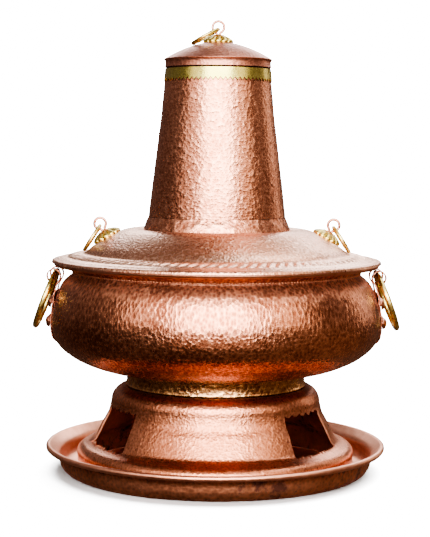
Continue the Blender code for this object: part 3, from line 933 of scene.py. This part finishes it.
def add_grate():
    low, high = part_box("grate_ring")
    outer = high.x / MM
    z0, z1 = low.z / MM, high.z / MM
    inner = outer - 6
    rows = [(outer, z1 - 0.5), (outer, z0 + 0.5), (outer - 0.5, z0), (inner + 0.5, z0), (inner, z0 + 0.5)]
    rows += [(inner, z1 - 0.5), (inner + 0.5, z1), (outer - 0.5, z1)]
    ring = plain("grate_ring", rows, 180)
    add_piece(cast_marks(ring, CAST_ROUGH, CAST_SEED), "grate_ring", "grate_iron", IRON)
    for number in range(1, 7):
        node = "grate_bar_%d" % number
        low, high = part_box(node)
        size = high - low
        shape = Matrix.Translation((low + high) / 2) @ Matrix.Diagonal((*size, 1))
        bm = bmesh.new()
        bmesh.ops.create_cube(bm, size=1, matrix=shape)
        ends = [(edge, edge.verts[0].co.x, edge.verts[1].co.x) for edge in bm.edges]
        long_edges = [edge for edge, start, end in ends if abs(start - end) > size.x / 2]
        bmesh.ops.subdivide_edges(bm, edges=long_edges, cuts=40)
        sharp = [edge for edge in bm.edges if edge.calc_face_angle(0) > 1]
        bmesh.ops.bevel(bm, geom=sharp, offset=0.8 * MM, segments=2, affect="EDGES")
        bar = cast_marks(mesh_of(bm, node), CAST_ROUGH, CAST_SEED + number)
        add_piece(bar, node, "grate_iron", IRON)


add_grate()

# ---------------- eyes, rosettes and small rings

# An eye's middle is EYE_HEIGHT above the sheet that it stands on, and its ring's hinge is HINGE_DROP below
# the middle. The washer is UNDER_SHEET below the sheet.
EYE_HEIGHT = 14.9
EYE_RADIUS = 5.6
EYE_WIRE = 1.4
HINGE_DROP = 2.0
SHANK = 2.4
WASHER = 1.0
UNDER_SHEET = 1.0
SMALL_RING_RADIUS = 14.05
SMALL_RING_WIRE = 1.7
PETALS = 12
RING_BEADS = 16
LID_SLOPE = 29.3
LID_RING_DROOP = 57.5
CAP_RING_DROOP = 29.0


def fluted(theta, radius, height):
    """Divide a dome into rounded petals, with a ring of small beads round its middle."""
    petal = np.abs(np.cos(PETALS * theta / 2)) ** 0.7
    outer = fade(radius, 6.5, 11.0)
    bead = bump_at(radius, 5.6, 0.9) * (0.5 + 0.5 * np.cos(RING_BEADS * theta))
    lifted = height + (height > 0.9) * (1.1 * outer * (petal - 0.75) + 0.5 * bead)
    return radius * (1 - 0.09 * (1 - petal) * outer), lifted


def rosette_mesh():
    dome = smooth([(2.8, 7.4), (4.2, 7.3), (5.6, 7.0), (8.5, 5.9), (11.0, 4.5), (13.2, 3.0), (14.3, 1.9)])
    rim = smooth([(14.3, 1.9), (14.5, 1.0), (14.2, -0.4)])
    under = smooth([(14.2, -0.4), (2.8, -0.4)])
    rows = np.vstack([spaced(dome, 0.55), spaced(rim, 0.5)[1:], spaced(under, 4.0)[1:]])
    return reshaped(plain("rosette", rows, PETALS * 14), fluted)


def eye_mesh():
    """A wire bent into an open loop, brazed on a shank whose lower end is peened over."""
    loop = [
        (EYE_RADIUS * math.cos(a), 0, EYE_HEIGHT + EYE_RADIUS * math.sin(a))
        for a in np.radians(np.linspace(-66, 246, 44))
    ]
    legs = [(1.9, 0, 9.2), (1.55, 0, 8.2), (1.45, 0, 6.6)]
    path = legs[::-1] + loop + [(-x, y, z) for x, y, z in legs]
    head = -SHEET - UNDER_SHEET - WASHER - GAP
    runs = [[(0, 8.6), (1.6, 8.2), (SHANK, 7.2)], [(SHANK, 7.2), (SHANK, head)]]
    runs += [[(SHANK, head), (4.2, head)], [(4.2, head), (3.6, head - 1.2), (0, head - 1.7)]]
    return joined(tube("eye", path, EYE_WIRE, 14), [solid("shank", runs, 24, 0.6)])


def washer_mesh():
    top = -SHEET - UNDER_SHEET
    foot = top - WASHER
    rows = [(6.3, top), (6.5, top - 0.2), (6.5, foot + 0.2), (6.3, foot), (3.0, foot), (2.8, foot + 0.2)]
    rows += [(2.8, top - 0.2), (3.0, top)]
    return plain("washer", rows, 32)


def add_eye(part, ending, ring, tilt, side, droop, seed):
    """A rosette, its eye and washer, and the ring that hangs in the eye, placed from the ring's hinge."""
    hinge = HINGES[ring]
    turn = Matrix.Rotation(math.radians(tilt), 4, "Y")
    eye_middle = hinge + Vector((0, 0, HINGE_DROP))
    put = at(eye_middle) @ turn @ at((0, 0, -EYE_HEIGHT))
    add_piece(rosette_mesh(), part + "_rosette" + ending, "brass", BRASS, matrix=put, level=False)
    add_piece(eye_mesh(), part + "_eye" + ending, "copper_wire", WIRE_COPPER, matrix=put, level=False)
    add_piece(washer_mesh(), part + "_washer" + ending, "brass", BRASS, matrix=put, level=False)
    angle = math.radians(droop)
    middle = hinge + SMALL_RING_RADIUS * Vector((side * math.cos(angle), 0, -math.sin(angle)))
    place = at(middle) @ Matrix.Rotation(side * angle, 4, "Y")
    add_ring(ring, SMALL_RING_RADIUS, SMALL_RING_WIRE, place, seed)


for side_name, side_sign in SIDES_OF_POT:
    ending = "_" + side_name
    tilt = side_sign * LID_SLOPE
    add_eye("lid", ending, "lid_ring" + ending, tilt, side_sign, LID_RING_DROOP, seed=81 + side_sign)
add_eye("cap", "", "cap_ring", 0.0, -1, CAP_RING_DROOP, seed=85)

# ---------------- lid and cap

LID_OUTLINE = [(73.2, 231.6), (73.4, 233.2), (75.4, 235.1), (80.0, 236.3), (86.0, 236.0), (92.9, 234.3)]
LID_OUTLINE += [(100.0, 231.0), (106.4, 227.5), (113.0, 223.6), (119.3, 219.7), (124.0, 216.2)]
LID_OUTLINE += [(126.6, 213.8), (128.4, 212.4), (132.0, 211.5), (140.0, 210.0), (148.0, 208.5)]
LID_OUTLINE += [(154.0, 207.5), (157.6, 207.1), (159.2, 206.3), (160.0, 204.2)]
ROPE_STRANDS = 96
ROPE_INNER = 131.0
ROPE_OUTER = 144.5


def lid_marks(theta, travel, radius, height):
    crown = 1 - fade(radius, 124.0, 128.0)
    marks = blows(theta, travel, radius, pitch=2.9, hammer=22.0, tilt=0.02, seed=91)
    marks = (marks + waviness(theta, travel, 0.25, 92)) * crown[:, None]
    across = (2 * radius - ROPE_INNER - ROPE_OUTER) / (ROPE_OUTER - ROPE_INNER)
    swell = np.clip(1 - across**2, 0, 1)[:, None]
    strand = np.abs(np.sin(ROPE_STRANDS * theta[None, :] / 2 + 1.3 * across[:, None]))
    marks += (2.2 * strand**0.8 - 0.5) * swell**0.5
    for place, size in ((129.9, 0.55), (146.6, 0.6), (149.4, 0.45), (153.6, 0.6)):
        marks += size * bump_at(radius, place, 0.9)[:, None]
    return marks


def cap_marks(theta, travel, radius, height):
    domed = 1 - fade(radius, 48.0, 51.0)
    return blows(theta, travel, radius, pitch=3.2, hammer=45.0, tilt=0.012, seed=95) * domed[:, None]


lid = sheet("lid", LID_OUTLINE, SHEET, 800, 1.25, 4.0, lid_marks, (0, 1))
add_piece(lid, "lid", "lid", LID_COPPER, LID_UNDERSIDE_PAINTED_BOUNCE, level=False)
skirt = sheet("skirt", [(136.5, 208.6), (136.5, 204.0), (136.5, 200.0), (136.5, 196.0)], 1.0, 360, 2.0, 2.0)
add_piece(skirt, "lid_skirt", "lid_skirt", INSIDE_COPPER)
CAP_OUTLINE = [(2.8, 415.8), (8.0, 415.8), (14.5, 415.4), (22.0, 413.6), (30.0, 410.9), (36.0, 408.5)]
CAP_OUTLINE += [(42.0, 405.7), (47.6, 402.6), (51.4, 400.4), (52.5, 399.6), (52.3, 398.9), (51.4, 398.2)]
CAP_OUTLINE += [(51.0, 395.6), (51.5, 391.9)]
cap = sheet("cap", CAP_OUTLINE, SHEET, 420, 0.9, 2.5, cap_marks, (0, 1))
add_piece(cap, "cap", "cap", CAP_COPPER, INSIDE_COPPER)

# ---------------- floor, light and camera

# Lengths in this section are in metres, angles in degrees and power in watts.
FLOOR_RADIUS = 200.0
STUDIO_RADIUS = 20.0
WALL_LOW, WALL_HIGH = -2.0, 16.0
WALL_DARK_LEFT = (0.035, 0.020, 0.015, 1)
WALL_DARK_RIGHT = (0.12, 0.070, 0.045, 1)
WALL_TOP = (0.24, 0.20, 0.19, 1)
BACKDROP_STRENGTH = 14.0
SUN_STRENGTH = 40.0
LIGHT_TARGET = Vector((0, 0, 0.22))
CAMERA_LENS = 99.9
CAMERA_PLACE = (-0.0015, -1.45, 0.3114)
CAMERA_TILT = -4.495
CAMERA_ROLL = 0.45
EXPOSURE = 0.5

def add_stage(name, bm, material):
    mesh = mesh_of(bm, name)
    mesh.shade_smooth()
    mesh.materials.append(material)
    obj = linked(name, mesh)
    return obj


def add_floor():
    """A pale floor that the metal doesn't mirror."""
    bm = bmesh.new()
    bmesh.ops.create_circle(bm, cap_ends=True, segments=96, radius=FLOOR_RADIUS)
    made = Nodes("pale_floor")
    made.fill(made.surface, Base_Color=(0.8, 0.8, 0.8, 1), Roughness=0.9, Specular_IOR_Level=0.0)
    add_stage("floor", bm, made.material).visible_glossy = False


def add_studio_walls():
    """A dim shell that only reflections see: dark below, grey above, and warmer on the right."""
    bm = bmesh.new()
    bmesh.ops.create_uvsphere(bm, u_segments=64, v_segments=32, radius=STUDIO_RADIUS)
    made = Nodes("studio_walls")
    where = made.add("ShaderNodeTexCoord").outputs["Object"]
    x, y, z = made.add("ShaderNodeSeparateXYZ", Vector=where).outputs
    rise = made.ranged(z, WALL_LOW, WALL_HIGH)
    side = made.ranged(x, -STUDIO_RADIUS, STUDIO_RADIUS)
    low = made.mixed(side, WALL_DARK_LEFT, WALL_DARK_RIGHT)
    colour = made.mixed(rise, low, WALL_TOP)
    made.fill(made.surface, Base_Color=(0, 0, 0, 1), Emission_Color=colour, Emission_Strength=1.0)
    walls = add_stage("studio_walls", bm, made.material)
    walls.visible_camera = False
    walls.visible_diffuse = False
    walls.visible_shadow = False


def add_softbox(name, size, distance, azimuth, elevation, watts, colour=(1, 1, 1)):
    """A soft panel of light that faces the pot. Azimuth 0 is the front and 90 is the right-hand side."""
    lamp = bpy.data.lights.new(name, "AREA")
    lamp.shape = "RECTANGLE"
    lamp.size, lamp.size_y = size
    lamp.energy = watts
    lamp.color = colour
    turn, rise = math.radians(azimuth), math.radians(elevation)
    toward = Vector((math.sin(turn) * math.cos(rise), -math.cos(turn) * math.cos(rise), math.sin(rise)))
    panel = linked(name, lamp)
    panel.location = LIGHT_TARGET + toward * distance
    panel.rotation_euler = toward.to_track_quat("Z", "Y").to_euler()
    panel.visible_camera = False


def add_sun():
    """An even light from above, which only the floor takes."""
    lamp = bpy.data.lights.new("floor_light", "SUN")
    lamp.energy = SUN_STRENGTH
    lamp.angle = math.radians(70)
    sun = linked("floor_light", lamp)
    sun.rotation_euler = (math.radians(-12), math.radians(8), 0)
    sun.visible_glossy = False


def add_world():
    """A white backdrop, which only the camera sees."""
    world = bpy.data.worlds.new("backdrop")
    bpy.context.scene.world = world
    world.use_nodes = True
    background = world.node_tree.nodes["Background"]
    background.inputs["Color"].default_value = (1, 1, 1, 1)
    background.inputs["Strength"].default_value = BACKDROP_STRENGTH
    world.cycles_visibility.diffuse = False
    world.cycles_visibility.glossy = False
    world.cycles_visibility.transmission = False
    world.cycles_visibility.scatter = False


def add_camera():
    data = bpy.data.cameras.new("camera")
    data.sensor_width = 36.0
    data.lens = CAMERA_LENS
    camera = linked("camera", data)
    camera.location = CAMERA_PLACE
    tilt = Matrix.Rotation(math.radians(90 + CAMERA_TILT), 4, "X")
    camera.rotation_euler = (tilt @ Matrix.Rotation(math.radians(CAMERA_ROLL), 4, "Z")).to_euler()
    bpy.context.scene.camera = camera


add_floor()
add_studio_walls()
add_world()
add_sun()
add_softbox("front_softbox", (1.7, 1.15), 1.7, 0, 23, 52)
add_softbox("left_softbox", (0.8, 1.1), 1.7, -48, 26, 4.0, (1.0, 0.84, 0.76))
add_softbox("right_softbox", (0.8, 1.1), 1.7, 48, 26, 4.5, (1.0, 0.82, 0.64))
add_softbox("right_rim_strip", (0.4, 1.2), 1.9, 124, 15, 2, (1.0, 0.82, 0.66))
add_softbox("table_glow", (1.6, 0.4), 1.7, 0, -12, 1.2, (1.0, 0.74, 0.58))
add_softbox("top_softbox", (1.6, 1.2), 1.9, 100, 62, 16)
add_softbox("back_softbox", (1.8, 0.8), 1.9, 172, 27, 14)
add_camera()
bpy.context.scene.view_settings.view_transform = "AgX"
bpy.context.scene.view_settings.look = "AgX - Medium High Contrast"
bpy.context.scene.view_settings.exposure = EXPOSURE
